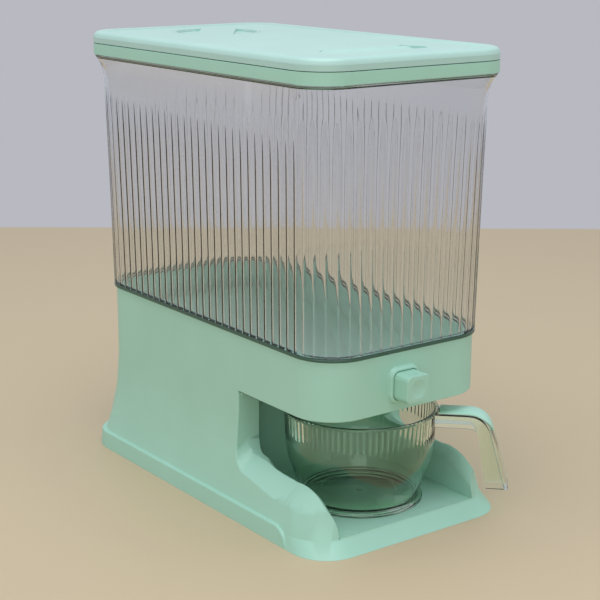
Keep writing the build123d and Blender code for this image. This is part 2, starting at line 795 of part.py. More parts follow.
# Gate
def make_gate_channel():
    """The box that guides the slide, with the spout below it and galleries for the springs."""
    body = box_between((-channel_half_width, channel_front, channel_bottom),
                       (channel_half_width, channel_back, channel_top))
    slot_low, slot_high = slide_bottom - slide_gap, slide_bottom + slide_thickness + slide_gap
    guide = plate_half_width + slide_gap
    body -= box_between((-guide, channel_front - 1, slot_low),
                        (guide, slide_back + gate_travel + slide_gap + 0.5, slot_high))
    gallery = spring_outer + slide_gap
    for side in (-1, 1):
        inner, outer = side * (plate_half_width - ear_root - slide_gap), side * (spring_x + gallery + 0.4)
        body -= box_between((inner, channel_front - 1, slot_low), (outer, spring_back, slot_low + 2 * gallery))
        body -= level_pin(side * spring_x, spring_back - 1, spring_back + 6.5, spring_z, spring_pin_radius,
                          screw_sides)
    for x, y in channel_screw_places():
        root, tip = math.copysign(channel_half_width, x), math.copysign(channel_half_width + lug_width, x)
        lug = box_between((root, y - lug_width / 2, channel_bottom),
                          (tip, y + lug_width / 2, channel_bottom + lug_thickness))
        body += lug - upright_pin(x, y, channel_bottom - 1, channel_bottom + lug_thickness + 1,
                                  screw_hole_radius, screw_sides)
    body += block(throat_outline(spout_wall, 2.5), bay_top - spout_drop, channel_bottom + 1)
    body -= block(throat_outline(0, 1.5), bay_top - spout_drop - 1, channel_top + 1)
    stem_half, stem_back = stem_width / 2 + slide_gap, slide_front + stem_thickness + gate_travel + slide_gap
    body -= box_between((button_x - stem_half, channel_front - 1, slot_low),
                        (button_x + stem_half, stem_back, channel_top + 1))
    cap_half, cap_back = button_width / 2 + slide_gap, button_rear + gate_travel + slide_gap
    cap_low = button_z - button_height / 2 - slide_gap
    return body - box_between((button_x - cap_half, channel_front - 1, cap_low),
                              (button_x + cap_half, cap_back, channel_top + 1))


def make_channel_screws():
    screws = Part()
    for x, y in channel_screw_places():
        screws += Pos(x, y, channel_bottom + lug_thickness) * screw(lug_thickness + ceiling - 0.8)
    return screws


def make_gate_slide():
    """The plate with the rice window, the ears that push the springs and the stem for the button."""
    low, high = slide_bottom, slide_bottom + slide_thickness
    slide = box_between((-plate_half_width, slide_front, low), (plate_half_width, slide_back, high))
    window_y = throat_y - gate_travel
    slide -= box_between((-throat_half_width, window_y - throat_half_depth, low - 1),
                         (throat_half_width, window_y + throat_half_depth, high + 1))
    for side in (-1, 1):
        inner, outer = side * (plate_half_width - ear_root), side * (spring_x + spring_outer)
        ear_back, ear_top = ear_front + ear_thickness, low + 2 * spring_outer - slide_gap
        slide += box_between((inner, ear_front, low), (outer, ear_back, ear_top))
        slide -= level_pin(side * spring_x, ear_front - 1, ear_back + 1, spring_z,
                           spring_pin_radius + slide_gap, screw_sides)
    slide += box_between((button_x - stem_width / 2, slide_front, low),
                         (button_x + stem_width / 2, slide_front + stem_thickness, stem_top))
    return slide - level_pin(button_x, slide_front - 1, slide_front + stem_thickness + 1, button_z,
                             screw_hole_radius, screw_sides)


def make_gate_seal():
    """The gasket between the hopper's throat and the top of the gate channel."""
    return ring(throat_outline(hopper_wall, 3.5), hopper_wall - 0.4, channel_top, throat_bottom)


def make_return_springs():
    """The two return springs, each as the sleeve that its coil fills."""
    springs = Part()
    front = ear_front + ear_thickness
    for x in (-spring_x, spring_x):
        coil = level_pin(x, front, spring_back, spring_z, spring_outer, screw_sides)
        springs += coil - level_pin(x, front - 1, spring_back + 1, spring_z, spring_inner, screw_sides)
    return springs


def make_spring_pins():
    pins = Part()
    for x in (-spring_x, spring_x):
        pins += level_pin(x, ear_front - 3, spring_back + 6, spring_z, spring_pin_radius, screw_sides)
    return pins


def make_push_button():
    front = body_front - button_proud
    face = RectangleRounded(button_width, button_height, button_corner)
    upright = Plane(origin=(button_x, front, button_z), x_dir=(1, 0, 0), z_dir=(0, 1, 0))
    cap = extrude(upright * face, button_rear - front)
    cap = chamfer(cap.faces().sort_by(Axis.Y)[0].edges(), button_edge)
    inner = RectangleRounded(button_width - 2 * button_wall, button_height - 2 * button_wall,
                             button_corner - button_wall)
    cap -= Pos(0, button_wall + 0.6, 0) * extrude(upright * inner, button_rear - front)
    centre = front + button_dimple_depth - button_dimple_radius
    cap -= Pos(button_x, centre, button_z) * Sphere(button_dimple_radius)
    cap += level_pin(button_x, front + button_wall, slide_front, button_z, button_boss_radius, screw_sides)
    cap -= level_pin(button_x, slide_front - 9, slide_front + 1, button_z, pilot_radius, screw_sides)
    rear = body_front + wall + slide_gap
    for side in (-1, 1):
        near, far = button_x + side * (button_width / 2 - 1), button_x + side * (button_width / 2 + button_lip)
        cap += box_between((near, rear, button_z - button_lip_height / 2),
                           (far, rear + button_lip_thickness, button_z + button_lip_height / 2))
    return cap


def make_button_screw():
    return Pos(button_x, slide_front + stem_thickness, button_z) * Rot(-90, 0, 0) * screw(stem_thickness + 7.0)


# Measuring cup, modelled about its own axis with its foot at zero, then set in the bay
def in_bay(shape):
    return Pos(0, cup_y, tray_floor + slide_gap) * shape


def cup_points(radius, height):
    """Points round the cup, one between each two flutes."""
    turns = [math.radians(360 * (i + 0.5) / cup_flutes) for i in range(cup_flutes)]
    return [Vector(radius * math.cos(turn), radius * math.sin(turn), height) for turn in turns]


def cup_side(thickness, neck_height):
    """The cup's side from its neck up to its lip, as (radius, height), moved in by a thickness."""
    neck = (cup_neck_radius - thickness, neck_height)
    shoulder = (cup_shoulder_radius - thickness, cup_shoulder_height)
    band = (cup_band_radius - thickness, cup_height - cup_lip_height)
    side = FilletPolyline(neck, shoulder, band, radius=cup_shoulder_bend - thickness)
    bend = side.edges().filter_by(GeomType.CIRCLE)[0]
    places = [bend @ (k / cup_bend_steps) for k in range(cup_bend_steps + 1)]
    places.sort(key=lambda place: place.Y)
    return [neck] + [(place.X, place.Y) for place in places] + [band]


def handle_outer(depth):
    """The outer line of the handle, moved in by a depth."""
    top, end = cup_height - handle_drop, cup_height - handle_drop - handle_length
    lean = math.atan2(handle_end_reach - handle_reach, handle_length)
    bend_x = cup_rim_radius + handle_reach - depth * (1 / math.cos(lean) - math.tan(lean))
    end_x = cup_rim_radius + handle_end_reach - depth / math.cos(lean)
    return (cup_neck_radius, top - depth), (bend_x, top - depth), (end_x, end), handle_bend_radius - depth


def handle_inner():
    top = cup_height - handle_drop
    low = top - handle_arm_depth
    end = (cup_rim_radius + handle_inner_end_reach, top - handle_length)
    return end, (cup_rim_radius + handle_inner_reach, low), (cup_neck_radius, low)


def handle_body(depth, half_width):
    """The handle as a solid bar between its outer line and its inner line."""
    start, bend, end, radius = handle_outer(depth)
    inner_end, inner_bend, inner_start = handle_inner()
    line = FilletPolyline(start, bend, end, radius=radius) + Line(end, inner_end)
    line += FilletPolyline(inner_end, inner_bend, inner_start, radius=handle_inner_radius)
    line += Line(inner_start, start)
    return Pos(0, half_width, 0) * extrude(Plane.XZ * make_face(line), 2 * half_width, dir=(0, -1, 0))


def strip_band():
    """The mint strip on the outside of the handle's arm and bend."""
    half, top = handle_width / 2, cup_height - handle_drop
    band = handle_body(0, half) - handle_body(strip_thickness, half + 1)
    return band & box_between((cup_rim_radius + strip_start, -half - 1, top - strip_length),
                              (cup_rim_radius + handle_end_reach + 5, half + 1, top + 1))


def make_cup_flutes():
    """Shallow V grooves round the band under the lip, which run out to points below."""
    top = cup_height - cup_lip_height
    half = math.pi * cup_band_radius / cup_flutes * 0.62
    outlines = []
    for height, fade in ((top - cup_flute_length, 0.05), (top, 1.0)):
        share = (height - cup_shoulder_height) / (top - cup_shoulder_height)
        radius = cup_shoulder_radius + (cup_band_radius - cup_shoulder_radius) * share
        outlines.append([Vector(radius + 0.4 * fade, half * fade, height),
                         Vector(radius - cup_flute_depth * fade, 0, height),
                         Vector(radius + 0.4 * fade, -half * fade, height)])
    groove = banded(outlines)
    return [Rot(0, 0, 360 / cup_flutes * i) * groove for i in range(cup_flutes)]


def handle_channel():
    """The hollow of the handle, open towards the bowl and at its end."""
    half = handle_width / 2 - handle_wall
    end, bend, start = handle_inner()
    mouth_x = cup_rim_radius + 1
    mouth = [(mouth_x, bend[1] + 6), (mouth_x, bend[1] - 2), (bend[0] - 3, bend[1] - 2),
             (end[0] - 3, end[1] - 2), (end[0] + 6, end[1] - 2), (bend[0] + 5, bend[1] + 5)]
    opening = extrude(Plane.XZ * make_face(Polyline(*mouth, close=True)), 2 * half, dir=(0, -1, 0))
    channel = handle_body(handle_wall + strip_thickness, half) + Pos(0, half, 0) * opening
    far_x = cup_rim_radius + handle_end_reach + 5
    return channel & box_between((mouth_x, -half, 0), (far_x, half, cup_height))


def make_measuring_cup():
    side = cup_side(0, cup_neck_height)
    lip = [(cup_rim_radius, cup_height - cup_lip_height), (cup_rim_radius, cup_height)]
    outside = [(cup_foot_radius, 0), (cup_foot_radius, cup_foot_height)] + side + lip
    hollow = cup_side(cup_wall, cup_floor) + [(cup_band_radius - cup_wall, cup_height + 1)]
    bowl = banded([cup_points(radius, height) for radius, height in outside])
    recess = cup_foot_radius - cup_foot_ring
    bowl -= banded([cup_points(recess, -1), cup_points(recess, cup_foot_height)])
    bowl -= make_cup_flutes()
    handle = handle_body(0, handle_width / 2) - handle_channel() - strip_band()
    cup = bowl + Rot(0, 0, handle_turn) * handle
    cup -= banded([cup_points(radius, height) for radius, height in hollow])
    cup -= upright_pin(0, 0, cup_floor - cup_ring_depth, cup_floor + 1, cup_ring_radius, cup_flutes // 2)
    return in_bay(cup)


def make_handle_cover():
    return in_bay(Rot(0, 0, handle_turn) * strip_band())


makers = {
    "base_housing": make_base_housing,
    "bottom_plate": make_bottom_plate,
    "bottom_screws": make_bottom_screws,
    "rubber_feet": make_rubber_feet,
    "container": make_container,
    "container_seal": make_container_seal,
    "lid_frame": make_lid_frame,
    "lid_seal": make_lid_seal,
    "lid_hinge_pins": make_hinge_pins,
    "lid_cover": make_lid_cover,
    "date_dial": make_date_dial,
    "dial_clip": make_dial_clip,
    "hopper": make_hopper,
    "hopper_screws": make_hopper_screws,
    "gate_channel": make_gate_channel,
    "channel_screws": make_channel_screws,
    "gate_slide": make_gate_slide,
    "gate_seal": make_gate_seal,
    "return_springs": make_return_springs,
    "spring_pins": make_spring_pins,
    "push_button": make_push_button,
    "button_screw": make_button_screw,
    "measuring_cup": make_measuring_cup,
    "handle_cover": make_handle_cover,
}

os.makedirs("parts", exist_ok=True)
for name, maker in makers.items():
    save(name, maker())
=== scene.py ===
import bpy
import json
import math
from mathutils import Matrix, Quaternion, Vector


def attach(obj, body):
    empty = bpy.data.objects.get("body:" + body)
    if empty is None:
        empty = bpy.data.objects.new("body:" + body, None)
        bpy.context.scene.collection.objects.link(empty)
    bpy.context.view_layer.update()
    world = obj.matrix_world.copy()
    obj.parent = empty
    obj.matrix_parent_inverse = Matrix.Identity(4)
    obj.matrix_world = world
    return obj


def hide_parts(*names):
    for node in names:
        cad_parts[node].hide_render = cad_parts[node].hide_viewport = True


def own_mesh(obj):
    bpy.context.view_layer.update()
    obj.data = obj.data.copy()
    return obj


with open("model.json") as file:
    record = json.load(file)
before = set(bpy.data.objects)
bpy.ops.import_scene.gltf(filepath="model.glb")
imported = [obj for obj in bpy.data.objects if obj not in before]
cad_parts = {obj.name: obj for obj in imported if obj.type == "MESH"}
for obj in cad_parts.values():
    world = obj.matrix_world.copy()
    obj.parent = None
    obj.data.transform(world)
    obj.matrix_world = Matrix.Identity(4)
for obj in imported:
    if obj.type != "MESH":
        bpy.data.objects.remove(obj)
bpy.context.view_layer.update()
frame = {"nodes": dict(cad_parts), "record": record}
nodes = frame["nodes"]
mm = 0.001
mergeDistance = 0.004 * mm      # joins the loose triangles of a mesh and closes its seams
flatAngle = 0.5                 # degrees between faces that are really one
sharpEdge = 35                  # degrees between faces that meet in an edge
cornerEdge = 50                 # degrees between faces that meet in a corner of the handle


# Small helpers used by every piece
def selectOnly(piece):
    if bpy.context.object and bpy.context.object.mode != "OBJECT":
        bpy.ops.object.mode_set(mode="OBJECT")
    bpy.ops.object.select_all(action="DESELECT")
    piece.select_set(True)
    bpy.context.view_layer.objects.active = piece


def deselectAll():
    selectOnly(nodes["container"])
    bpy.ops.object.select_all(action="DESELECT")


def applyModifier(piece, kind, **settings):
    selectOnly(piece)
    bpy.ops.object.modifier_add(type=kind)
    modifier = piece.modifiers[-1]
    for name, value in settings.items():
        setattr(modifier, name, value)
    bpy.ops.object.modifier_apply(modifier=modifier.name)


def inEditMode(piece, *steps):
    selectOnly(piece)
    bpy.ops.object.mode_set(mode="EDIT")
    for step in steps:
        step()
    bpy.ops.object.mode_set(mode="OBJECT")


def selectMesh():
    bpy.ops.mesh.select_all(action="SELECT")


def deselectMesh():
    bpy.ops.mesh.select_all(action="DESELECT")


def mergePoints():
    bpy.ops.mesh.remove_doubles(threshold=mergeDistance)


def mergeAndFaceOut(piece):
    inEditMode(piece, selectMesh, mergePoints,
               lambda: bpy.ops.mesh.normals_make_consistent(inside=False))


# Fills the open ends of a tube
def closeEnds(piece):
    inEditMode(piece, deselectMesh,
               lambda: bpy.ops.mesh.select_mode(type="EDGE"),
               lambda: bpy.ops.mesh.select_non_manifold(),
               lambda: bpy.ops.mesh.fill())
    mergeAndFaceOut(piece)


def roundCorners(piece, width):
    applyModifier(piece, "BEVEL", width=width * mm, segments=2, limit_method="ANGLE",
                  angle_limit=math.radians(cornerEdge))


def combine(piece, tool, operation):
    applyModifier(piece, "BOOLEAN", operation=operation, solver="EXACT", object=tool)
    bpy.data.objects.remove(tool)


# A grid primitive whose rows of vertices are laid on the given rows of points, in mm
def layGrid(name, rows):
    deselectAll()
    bpy.ops.mesh.primitive_grid_add(x_subdivisions=len(rows[0]) - 1, y_subdivisions=len(rows) - 1)
    piece = bpy.context.object
    piece.name = piece.data.name = name
    points = [point for row in rows for point in row]
    for vertex, point in zip(piece.data.vertices, points):
        vertex.co = Vector(point) * mm
    return piece


def finishPiece(piece, material, body, slotName, *replaced, angle=30):
    piece.data.name = piece.name
    piece.data.materials.clear()
    piece.data.materials.append(material)
    selectOnly(piece)
    bpy.ops.object.shade_smooth_by_angle(angle=math.radians(angle))
    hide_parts(*replaced)
    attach(piece, body)
    return piece


# A copy of a CAD node with its triangles merged into clean faces
def cleanCopy(nodeName, pieceName):
    selectOnly(nodes[nodeName])
    bpy.ops.object.duplicate()
    piece = bpy.context.object
    piece.name = pieceName
    piece.parent = None
    for key in list(piece.keys()):
        del piece[key]
    inEditMode(piece, selectMesh, mergePoints,
               lambda: bpy.ops.mesh.dissolve_limited(angle_limit=math.radians(flatAngle)))
    return piece


# Rounds the sharp edges that a test accepts by their middle and direction
def softenEdges(piece, width, segments, accepts):
    inEditMode(piece, deselectMesh,
               lambda: bpy.ops.mesh.select_mode(type="EDGE"),
               lambda: bpy.ops.mesh.edges_select_sharp(sharpness=math.radians(sharpEdge)))
    mesh = piece.data
    for edge in mesh.edges:
        a, b = (mesh.vertices[i].co / mm for i in edge.vertices)
        if edge.select and not accepts((a + b) / 2, b - a):
            edge.select = False
    inEditMode(piece, lambda: bpy.ops.mesh.bevel(
        offset=width * mm, segments=segments, affect="EDGES", clamp_overlap=False))


# Materials
def toLinear(hexColour):
    channels = [int(hexColour[i:i + 2], 16) / 255 for i in (1, 3, 5)]
    return [c / 12.92 if c <= 0.04045 else ((c + 0.055) / 1.055) ** 2.4 for c in channels] + [1.0]


def addNode(tree, kind, settings=None, inputs=None):
    node = tree.nodes.new(kind)
    for name, value in (settings or {}).items():
        setattr(node, name, value)
    for name, value in (inputs or {}).items():
        if isinstance(value, bpy.types.NodeSocket):
            tree.links.new(value, node.inputs[name])
        else:
            node.inputs[name].default_value = value
    return node


def newMaterial(name):
    material = bpy.data.materials.new(name)
    material.use_nodes = True
    tree = material.node_tree
    tree.nodes.clear()
    return material, tree


# The satin surface: flow marks 60 mm apart that shift tone and sheen a little, under a
# spark-eroded grain. The grain is really about 0.1 mm and is drawn at 0.45 mm so that it shows.
satin = {"mottle": 60, "mottleRoughness": 0.55, "low": 0.3, "high": 0.7, "sheenChange": 0.04,
         "grain": 0.45, "grainDepth": 0.03, "grainStrength": 0.5, "ior": 1.53}
# The clear surface: polished in the mould, with a ripple 25 mm wide that bends reflections a little
polished = {"ripple": 25, "rippleDepth": 0.03, "rippleStrength": 0.6, "roughness": 0.02, "ior": 1.5}


def mouldedPlastic(name, colour, deepColour, roughness):
    material, tree = newMaterial(name)
    place = addNode(tree, "ShaderNodeTexCoord")
    mottle = addNode(tree, "ShaderNodeTexNoise", inputs={
        "Vector": place.outputs["Object"], "Scale": 1 / (satin["mottle"] * mm), "Detail": 3.0,
        "Roughness": satin["mottleRoughness"]})
    tone = addNode(tree, "ShaderNodeValToRGB", inputs={"Fac": mottle.outputs["Fac"]})
    tone.color_ramp.elements[0].position = satin["low"]
    tone.color_ramp.elements[0].color = toLinear(deepColour)
    tone.color_ramp.elements[1].position = satin["high"]
    tone.color_ramp.elements[1].color = toLinear(colour)
    fine = addNode(tree, "ShaderNodeTexNoise", inputs={
        "Vector": place.outputs["Object"], "Scale": 1 / (satin["grain"] * mm), "Detail": 2.0})
    rough = addNode(tree, "ShaderNodeMapRange", inputs={
        "Value": mottle.outputs["Fac"], "From Min": satin["low"], "From Max": satin["high"],
        "To Min": roughness - satin["sheenChange"], "To Max": roughness + satin["sheenChange"]})
    bump = addNode(tree, "ShaderNodeBump", inputs={
        "Height": fine.outputs["Fac"], "Distance": satin["grainDepth"] * mm,
        "Strength": satin["grainStrength"]})
    shader = addNode(tree, "ShaderNodeBsdfPrincipled", inputs={
        "Base Color": tone.outputs["Color"], "Roughness": rough.outputs["Result"],
        "Normal": bump.outputs["Normal"], "IOR": satin["ior"]})
    addNode(tree, "ShaderNodeOutputMaterial", inputs={"Surface": shader.outputs["BSDF"]})
    return material


def clearPlastic(name, colour):
    material, tree = newMaterial(name)
    place = addNode(tree, "ShaderNodeTexCoord")
    wave = addNode(tree, "ShaderNodeTexNoise", inputs={
        "Vector": place.outputs["Object"], "Scale": 1 / (polished["ripple"] * mm), "Detail": 1.0})
    bump = addNode(tree, "ShaderNodeBump", inputs={
        "Height": wave.outputs["Fac"], "Distance": polished["rippleDepth"] * mm,
        "Strength": polished["rippleStrength"]})
    shader = addNode(tree, "ShaderNodeBsdfPrincipled", inputs={
        "Base Color": toLinear(colour), "Roughness": polished["roughness"],
        "IOR": polished["ior"], "Transmission Weight": 1.0, "Normal": bump.outputs["Normal"]})
    # Lamp light passes straight through, so the clear walls cast only a light shadow
    lamps = addNode(tree, "ShaderNodeBsdfTransparent", inputs={"Color": toLinear(colour)})
    rays = addNode(tree, "ShaderNodeLightPath")
    mix = addNode(tree, "ShaderNodeMixShader", inputs={"Fac": rays.outputs["Is Shadow Ray"]})
    tree.links.new(shader.outputs["BSDF"], mix.inputs[1])
    tree.links.new(lamps.outputs["BSDF"], mix.inputs[2])
    addNode(tree, "ShaderNodeOutputMaterial", inputs={"Surface": mix.outputs["Shader"]})
    return material


# ABS moulded in satin tools: even colour with broad soft highlights
mint = mouldedPlastic("mintAbsMoulded", "#acdac6", "#a7d6c1", 0.42)
# ABS, a touch glossier so that the top picks up the lamp. Its paler, bluer tone is painted light: a lit copy
# of the mint standing in for the light on the lid's top.
paintedLitLidMint = mouldedPlastic("mintAbsLidPaintedLit", "#b7d9cf", "#b2d5cb", 0.36)
# ABS of the handle's strip and of the hopper: the same satin, painted lighter as lit copies of the mint. The
# strip's stands in for the top light on it, the hopper's for the light that reaches it inside the bin.
paintedLitStripMint = mouldedPlastic("mintAbsHandleStripPaintedLit", "#baead6", "#b5e5d1", 0.4)
paintedLitHopperMint = mouldedPlastic("mintAbsHopperPaintedLit", "#bfe6d6", "#bae2d1", 0.42)
# Polystyrene, moulded and polished: clear, with dark edges where it bends the light
clear = clearPlastic("clearStyreneMoulded", "#f6f7f8")
# The cup's polystyrene: as clear, with a faint green cast painted into it, a painted reflection of the mint
# parts around the cup
cupClearPaintedMintCast = clearPlastic("clearStyreneCupPaintedMintCast", "#f1faf1")
# Polystyrene down in the base's groove: no light comes back out of the gap, so its shade is painted on as a
# thin dark line of opaque dark green
binFootPaintedShade = mouldedPlastic("styreneFootPaintedShade", "#3a5e4e", "#355949", 0.3)
# Acetal moulded in its natural colour: waxy off-white
acetal = mouldedPlastic("naturalAcetalMoulded", "#e6e8e2", "#dfe1db", 0.35)
# Silicone, moulded: dull and milky
silicone = mouldedPlastic("siliconeMoulded", "#d5dbd8", "#cdd4d0", 0.55)
# Rubber, moulded: matt and nearly black
rubber = mouldedPlastic("rubberPadMoulded", "#2b2b2b", "#252525", 0.7)
# Steel under dull zinc: pale grey, out of the light and so without clear reflections
steel = mouldedPlastic("zincPlatedSteel", "#b9bbbc", "#b0b2b3", 0.35)
print("materials made")

# Container: outside and inside in one closed skin. An outline is half width, front, back and
# corner radius, and "rise" pairs a height with the share of the growth that is reached there.
flutedBin = {
    "cornerFlutes": 6, "sideFlutes": 27, "endFlutes": 10, "fluteDepth": 0.9, "ribPower": 6,
    "steps": (0.0, 0.04, 0.08, 0.13, 0.2, 0.35, 0.5, 0.65, 0.8, 0.87, 0.92, 0.96),
    "fluteLow": 149.2, "fluteFull": 150.6, "fluteFade": 284.0, "fluteTip": 319.0,
    "wall": 2.2, "ledgeRound": 0.5, "rimRound": 0.4,
    "spigotLow": 138.2, "ledgeLow": 146.0, "ledgeTop": 148.4, "grooveTop": 149.0,
    "rimLow": 345.6, "rimTop": 353.2, "mouthLow": 344.6, "insideTop": 344.0, "upright": 0.99,
    "foot": (83.3, -160.3, 162.2, 34.8), "growth": (9.7, -3.4, 1.5, -5.5),
    "ledge": (83.5, -160.5, 162.4, 35.0), "spigot": (78.6, -155.6, 157.5, 30.1),
    "rim": (91.2, -161.9, 161.9, 27.5),
    "rise": [(148.4, 0.0), (149.2, 0.0), (150.6, 0.0), (175, 0.045), (200, 0.085), (225, 0.13),
             (250, 0.184), (268, 0.218), (284, 0.25), (293, 0.268), (301, 0.284), (308, 0.298),
             (314, 0.312), (319, 0.33), (322, 0.345), (326, 0.37), (330, 0.405), (333.5, 0.455),
             (336.5, 0.53), (339, 0.64), (341.3, 0.76), (343.5, 0.89), (345.6, 1.0)],
    "smooth": 14,
}


def moved(outline, out):
    halfWidth, front, back, corner = outline
    return (halfWidth + out, front - out, back + out, corner + out)


# The place and outward direction at a number of flutes along an outline
def outlinePlace(outline, flute):
    halfWidth, front, back, corner = outline
    x, lowY, highY = halfWidth - corner, front + corner, back - corner
    centres = [(x, lowY), (x, highY), (-x, highY), (-x, lowY)]
    for i, (centreX, centreY) in enumerate(centres):
        turn = min(flute / flutedBin["cornerFlutes"], 1.0)
        angle = math.radians(90 * (i - 1 + turn))
        normal = Vector((math.cos(angle), math.sin(angle), 0))
        centre = Vector((centreX, centreY, 0))
        flute -= flutedBin["cornerFlutes"]
        if flute < 0:
            return centre + normal * corner, normal
        run = flutedBin["endFlutes"] if i % 2 else flutedBin["sideFlutes"]
        if flute < run:
            nextX, nextY = centres[(i + 1) % 4]
            return centre.lerp(Vector((nextX, nextY, 0)), flute / run) + normal * corner, normal
        flute -= run


# How much of the flutes' depth is there at a height
def fluteShare(z):
    low, full = flutedBin["fluteLow"], flutedBin["fluteFull"]
    fade, tip = flutedBin["fluteFade"], flutedBin["fluteTip"]
    if z <= low or z >= tip:
        return 0.0
    if z < full:
        return (z - low) / (full - low)
    if z > fade:
        return (tip - z) / (tip - fade)
    return 1.0


# One ring of the skin: each flute is a flat panel between two narrow raised ribs
def binRow(outline, z, share=0.0):
    count = 2 * flutedBin["endFlutes"] + 2 * flutedBin["sideFlutes"] + 4 * flutedBin["cornerFlutes"]
    row = []
    for k in range(count):
        for step in flutedBin["steps"]:
            place, normal = outlinePlace(outline, k + step)
            dip = 1 - abs(2 * step - 1) ** flutedBin["ribPower"]
            row.append(place - normal * (flutedBin["fluteDepth"] * dip * share) + Vector((0, 0, z)))
    row.append(row[0])
    return row


def wallAt(rise):
    return [start + gain * rise for start, gain in zip(flutedBin["foot"], flutedBin["growth"])]


ledge, spigot, rim, wall = (flutedBin[name] for name in ("ledge", "spigot", "rim", "wall"))
spigotLow, ledgeLow, ledgeTop = (flutedBin[name] for name in ("spigotLow", "ledgeLow", "ledgeTop"))
ledgeRound, rimRound, rimTop = (flutedBin[name] for name in ("ledgeRound", "rimRound", "rimTop"))
binRows = [binRow(spigot, spigotLow), binRow(spigot, ledgeLow)]
binRows += [binRow(moved(ledge, -ledgeRound), ledgeLow), binRow(ledge, ledgeLow + ledgeRound),
            binRow(ledge, ledgeTop - ledgeRound), binRow(moved(ledge, -ledgeRound), ledgeTop)]
binRows += [binRow(wallAt(rise), z, fluteShare(z)) for z, rise in flutedBin["rise"]]
binRows += [binRow(rim, flutedBin["rimLow"]), binRow(rim, rimTop - rimRound),
            binRow(moved(rim, -rimRound), rimTop), binRow(moved(rim, rimRound - wall), rimTop),
            binRow(moved(rim, -wall), rimTop - rimRound), binRow(moved(rim, -wall), flutedBin["mouthLow"])]
binRows += [binRow(moved(wallAt(rise), -wall), z) for z, rise in reversed(flutedBin["rise"])
            if z < flutedBin["insideTop"]]
binRows += [binRow(moved(spigot, -wall), ledgeTop), binRow(moved(spigot, -wall), spigotLow),
            binRow(spigot, spigotLow)]
container = layGrid("clearBin", binRows)
mergeAndFaceOut(container)
finishPiece(container, clear, "base", "clear", "container", angle=flutedBin["smooth"])


# The upright faces that look out into the base's groove take the dark material, painted shade for the gap
def facesPaintedGrooveShade(face):
    inGroove = ledgeLow < face.center.z / mm < flutedBin["grooveTop"]
    outward = face.normal.dot(Vector((face.center.x, face.center.y, 0))) > 0
    return inGroove and outward and abs(face.normal.z) < flutedBin["upright"]


container.data.materials.append(binFootPaintedShade)
for face in container.data.polygons:
    if facesPaintedGrooveShade(face):
        face.material_index = 1
print("container made")

# Measuring cup: a spun bowl with a fluted band. A profile is pairs of radius and height
# above the foot's underside.
cup = {
    "axis": (0, -100.4), "foot": 11.6, "wall": 1.8, "flutes": 84, "stepsPerFlute": 4, "smooth": 32,
    "bandLow": 52.0, "bandFull": 57.5, "bandTop": 73.25, "bandInside": 58.6,
    "grooveDepth": 0.75, "crest": 0.3, "insideLow": 8,
    "floor": [(0, 2.4), (44.2, 2.4), (45.9, 2.0), (46.2, 0.5), (46.7, 0), (49.7, 0), (50.2, 0.5),
              (50.2, 1.9), (49.7, 2.4), (47.2, 2.9)],
    "side": [(46.6, 4.0), (48.1, 9), (50.5, 17), (53.4, 25), (56.0, 31.5), (57.6, 37), (58.4, 43),
             (58.8, 49), (58.95, 52), (59.05, 54.5), (59.2, 57.5), (59.4, 60.5), (59.55, 64),
             (59.75, 68), (59.95, 72)],
    "rim": [(60.0, 73.2), (60.8, 73.4), (61.2, 73.9), (61.2, 75.3), (60.7, 75.9), (59.2, 75.9),
            (58.5, 75.6)],
    "inside": [(45.2, 6.2), (43.6, 5.2), (42.0, 5.0), (29.9, 5.0), (29.5, 4.4), (2.4, 4.4),
               (2.0, 4.9), (0, 5.0)],
}
axisX, axisY = cup["axis"]
profile = cup["floor"] + cup["side"] + cup["rim"]
profile += [(radius - cup["wall"], height) for radius, height in reversed(cup["side"])
            if height > cup["insideLow"]]
profile += cup["inside"]

deselectAll()
bpy.ops.mesh.primitive_circle_add(vertices=3, radius=0.01)
bowl = bpy.context.object
bowl.name = "measuringCup"
inEditMode(bowl, selectMesh, lambda: bpy.ops.mesh.delete(type="VERT"))
bowl.data.vertices.add(len(profile))
bowl.data.edges.add(len(profile) - 1)
for i, (radius, height) in enumerate(profile):
    bowl.data.vertices[i].co = Vector((axisX + radius, axisY, cup["foot"] + height)) * mm
for i, edge in enumerate(bowl.data.edges):
    edge.vertices = (i, i + 1)
bowl.data.update()
inEditMode(bowl, selectMesh,
           lambda: bpy.ops.mesh.spin(steps=cup["flutes"] * cup["stepsPerFlute"], angle=2 * math.pi,
                                     center=Vector((axisX, axisY, 0)) * mm, axis=(0, 0, 1),
                                     use_auto_merge=False))
mergeAndFaceOut(bowl)
for vertex in bowl.data.vertices:
    place = vertex.co / mm
    height = place.z - cup["foot"]
    arm = Vector((place.x - axisX, place.y - axisY))
    if cup["bandLow"] < height < cup["bandTop"] and arm.length > cup["bandInside"]:
        turn = math.atan2(arm.y, arm.x) / (2 * math.pi) * cup["flutes"]
        across = abs((turn % 1.0) - 0.5) * 2
        fade = min(1.0, (height - cup["bandLow"]) / (cup["bandFull"] - cup["bandLow"]))
        groove = max(0.0, across - cup["crest"]) / (1 - cup["crest"])
        cut = arm.normalized() * (cup["grooveDepth"] * fade * groove)
        vertex.co -= Vector((cut.x, cut.y, 0)) * mm

# Handle: a channel open to the inside, with a strip set into its back. Each of its two lines
# runs straight out from the bowl, round a bend and straight down, as reach from the axis and height.
channel = {
    "turn": -45, "half": 10.0, "wall": 2.0, "round": 0.5, "bend": 76.4, "bendSteps": 8, "dropSteps": 5,
    "reaches": (59.2, 62.5, 70, 78, 84.0),
    "outer": {"height": 75.2, "centre": (85.5, 55.2), "radius": 20,
              "drop": ((104.9, 59.9), (117.4, 14.5))},
    "inner": {"height": 62.7, "centre": (85.5, 54.7), "radius": 8,
              "drop": ((93.3, 56.6), (99.6, 14.5))},
}
stripForm = {"depth": 1.2, "gap": 0.02, "stations": range(1, 13), "taperFrom": 7, "taper": 0.75,
             "round": 0.35}


